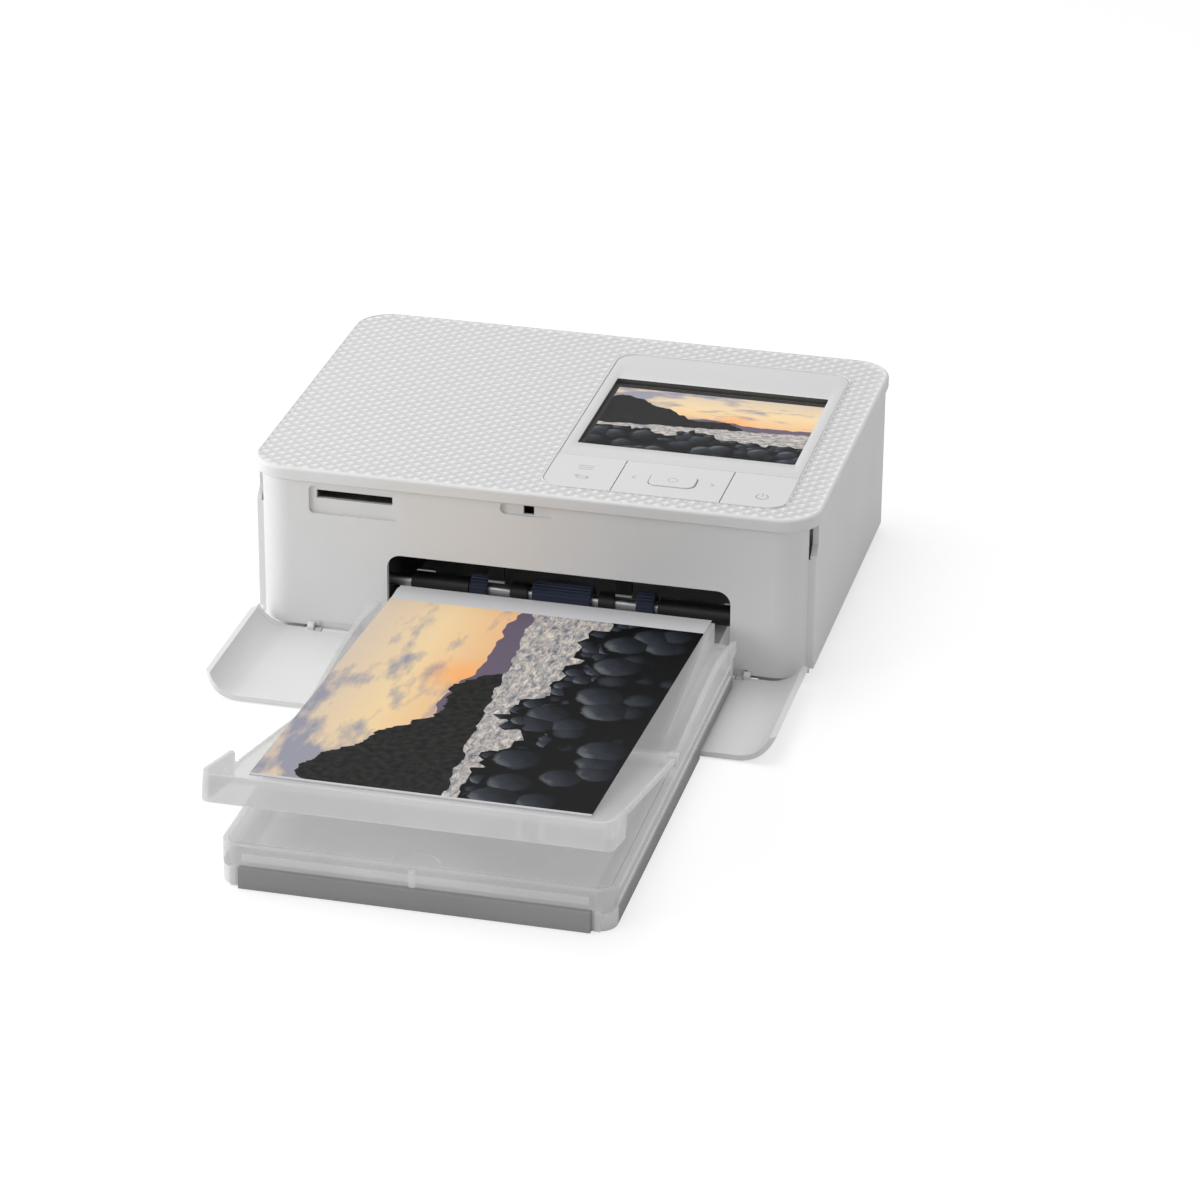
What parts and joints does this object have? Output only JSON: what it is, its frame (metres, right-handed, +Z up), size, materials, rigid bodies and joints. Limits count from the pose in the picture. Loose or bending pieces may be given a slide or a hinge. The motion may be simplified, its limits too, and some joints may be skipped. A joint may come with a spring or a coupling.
{
  "type": "compact photo printer",
  "caption": "Flat white dye-transfer photo printer with a display and keys on top, a drop-down front door, inserted paper cassette and a finished print on its output tray",
  "frame": {"origin": "Centre of the footprint, on the table, with the cassette inserted, the output tray raised and the front door open", "axes": "+Z up, +Y to the back of the printer, +X to the right as seen by the user in front of it"},
  "size_m": [0.1822, 0.3042, 0.0577],
  "materials": {
    "white_shell": "fine satin white moulding, diamond grain on the lid",
    "panel_white": "smooth semi-gloss white",
    "chassis_white": "moulded light grey",
    "rubber_dark": "matte",
    "rubber_blue": "matte ribbed navy blue",
    "screen_glass": "clear, flush",
    "screen": "dark display module",
    "circuit_board": "solder resist",
    "tinned_steel": "bright",
    "black_plastic": "fine texture",
    "motor_can": "zinc grey",
    "gear_plastic": "natural acetal",
    "heat_sink": "extruded",
    "head_ceramic": "glazed strip",
    "ink_case": "dark grey",
    "ribbon": "thin dyed film",
    "frosted_clear": "frosted translucent plastic",
    "cassette_grey": "fine grain",
    "bar_grey": "fine grain",
    "paper_white": "glossy photo paper",
    "photo_print": "glossy print of a landscape"
  },
  "bodies": {
    "case": {"top_cover": "white_shell", "front_fascia": "white_shell", "left_side_cover": "white_shell", "rear_cover": "white_shell", "base_chassis": "chassis_white", "rubber_feet": "rubber_dark", "case_screws": "tinned_steel", "control_panel": "panel_white", "lcd_window": "screen_glass", "lcd_module": "screen", "switch_board": "circuit_board", "card_socket": "tinned_steel", "main_board": "circuit_board", "power_board": "circuit_board", "usb_port": "tinned_steel", "dc_jack": "black_plastic", "fan_frame": "black_plastic", "left_frame": "tinned_steel", "right_frame": "tinned_steel", "drive_motor": "motor_can", "motor_bracket": "tinned_steel", "head_pivot_pin": "tinned_steel", "paper_guide": "tinned_steel", "exit_tabs": "black_plastic"},
    "front_door": {"front_door": "white_shell", "front_door_pins": "tinned_steel"},
    "ink_door": {"ink_door": "white_shell", "ink_door_pins": "tinned_steel"},
    "menu_key": {"menu_key": "panel_white"},
    "nav_rocker": {"nav_rocker": "panel_white"},
    "ok_key": {"ok_key": "panel_white"},
    "power_key": {"power_key": "panel_white"},
    "fan_rotor": {"fan_rotor": "black_plastic"},
    "capstan": {"capstan_roller": "tinned_steel", "capstan_gear": "gear_plastic"},
    "feed_roller": {"feed_shaft": "tinned_steel", "feed_rollers": "rubber_blue", "feed_gear": "gear_plastic"},
    "reduction_gear": {"reduction_gear": "gear_plastic"},
    "motor_rotor": {"motor_shaft": "tinned_steel", "motor_pinion": "gear_plastic"},
    "pinch_roller": {"pinch_roller": "rubber_dark"},
    "platen_roller": {"platen_roller": "rubber_dark"},
    "print_head_arm": {"head_bracket": "tinned_steel", "head_heat_sink": "heat_sink", "print_head": "head_ceramic"},
    "ink_cassette": {"ink_cassette_case": "ink_case", "ink_ribbon": "ribbon"},
    "supply_spool": {"supply_spool": "black_plastic"},
    "take_up_spool": {"take_up_spool": "black_plastic"},
    "eject_lever": {"eject_lever": "black_plastic"},
    "paper_cassette": {"cassette_base": "cassette_grey", "cassette_shell": "frosted_clear", "cassette_front_bar": "bar_grey"},
    "inner_lid": {"inner_lid": "frosted_clear"},
    "lift_plate": {"lift_plate": "tinned_steel", "paper_stack": "paper_white"},
    "output_tray": {"output_tray": "frosted_clear"},
    "print": {"print_sheet": "photo_print"}
  },
  "joints": [
    {"name": "front_door_hinge", "type": "hinge", "parent": "case", "child": "front_door", "pos_m": [0, 0.01996, 0.0013], "axis": [-1, 0, 0], "range_deg": [0, 0.4]},
    {"name": "ink_door_hinge", "type": "hinge", "parent": "case", "child": "ink_door", "pos_m": [0.0864, 0.08556, 0.0038], "axis": [0, 1, 0], "range_deg": [0, 80]},
    {"name": "menu_key_press", "type": "slide", "parent": "case", "child": "menu_key", "axis": [0, 0, -1], "range_m": [0, 0.0004], "stiffness_N_per_m": 400},
    {"name": "ok_key_press", "type": "slide", "parent": "case", "child": "ok_key", "axis": [0, 0, -1], "range_m": [0, 0.0004], "stiffness_N_per_m": 400},
    {"name": "power_key_press", "type": "slide", "parent": "case", "child": "power_key", "axis": [0, 0, -1], "range_m": [0, 0.0004], "stiffness_N_per_m": 400},
    {"name": "nav_rocker_tilt", "type": "hinge", "parent": "case", "child": "nav_rocker", "pos_m": [0.0416, 0.04006, 0.0564], "axis": [0, 1, 0], "range_deg": [-1.1, 1.1], "stiffness_Nm_per_rad": 0.05},
    {"name": "fan_spin", "type": "hinge", "parent": "case", "child": "fan_rotor", "pos_m": [-0.059, 0.14386, 0.023], "axis": [0, 1, 0], "continuous": true},
    {"name": "capstan_spin", "type": "hinge", "parent": "case", "child": "capstan", "pos_m": [-0.0517, 0.05756, 0.018], "axis": [1, 0, 0], "continuous": true},
    {"name": "feed_roller_spin", "type": "hinge", "parent": "case", "child": "feed_roller", "pos_m": [-0.0517, 0.03529, 0.0156], "axis": [1, 0, 0], "continuous": true},
    {"name": "reduction_gear_spin", "type": "hinge", "parent": "case", "child": "reduction_gear", "pos_m": [-0.0517, 0.07485, 0.02429], "axis": [1, 0, 0], "continuous": true},
    {"name": "motor_spin", "type": "hinge", "parent": "case", "child": "motor_rotor", "pos_m": [-0.0517, 0.09442, 0.02845], "axis": [1, 0, 0], "continuous": true},
    {"name": "pinch_roller_spin", "type": "hinge", "parent": "case", "child": "pinch_roller", "pos_m": [-0.0493, 0.05756, 0.0259], "axis": [1, 0, 0], "continuous": true},
    {"name": "platen_roller_spin", "type": "hinge", "parent": "case", "child": "platen_roller", "pos_m": [-0.0493, 0.09556, 0.016], "axis": [1, 0, 0], "continuous": true},
    {"name": "print_head_lift", "type": "hinge", "parent": "case", "child": "print_head_arm", "pos_m": [0.0095, 0.13456, 0.0436], "axis": [-1, 0, 0], "range_deg": [0, 8]},
    {"name": "ink_cassette_slide", "type": "slide", "parent": "case", "child": "ink_cassette", "axis": [1, 0, 0], "range_m": [0, 0.0045]},
    {"name": "supply_spool_spin", "type": "hinge", "parent": "ink_cassette", "child": "supply_spool", "pos_m": [0.064, 0.11556, 0.033], "axis": [1, 0, 0], "continuous": true},
    {"name": "take_up_spool_spin", "type": "hinge", "parent": "ink_cassette", "child": "take_up_spool", "pos_m": [0.064, 0.07556, 0.033], "axis": [1, 0, 0], "continuous": true},
    {"name": "eject_lever_pivot", "type": "hinge", "parent": "case", "child": "eject_lever", "pos_m": [0.0713, 0.12856, 0.026], "axis": [-1, 0, 0], "range_deg": [0, 15], "stiffness_Nm_per_rad": 0.002},
    {"name": "paper_cassette_slide", "type": "slide", "parent": "case", "child": "paper_cassette", "axis": [0, -1, 0], "range_m": [0, 0.1]},
    {"name": "inner_lid_hinge", "type": "hinge", "parent": "paper_cassette", "child": "inner_lid", "pos_m": [0.0095, -0.06594, 0.0116], "axis": [-1, 0, 0], "range_deg": [0, 12]},
    {"name": "lift_plate_hinge", "type": "hinge", "parent": "paper_cassette", "child": "lift_plate", "pos_m": [0.0095, -0.13444, 0.0056], "axis": [1, 0, 0], "range_deg": [0, 0.75]},
    {"name": "output_tray_hinge", "type": "hinge", "parent": "paper_cassette", "child": "output_tray", "pos_m": [0.0095, -0.06144, 0.0144], "axis": [-1, 0, 0], "range_deg": [-13.2, 0]},
    {"name": "print_lift", "type": "slide", "parent": "paper_cassette", "child": "print", "axis": [0, 0, 1], "range_m": [0, 0.06]}
  ],
  "couplings": [
    {"joint": "feed_roller_spin", "follows": "capstan_spin", "ratio": -1.1538},
    {"joint": "reduction_gear_spin", "follows": "capstan_spin", "ratio": -1.875},
    {"joint": "motor_spin", "follows": "capstan_spin", "ratio": 4.8214},
    {"joint": "take_up_spool_spin", "follows": "supply_spool_spin", "ratio": 1.3043}
  ]
}
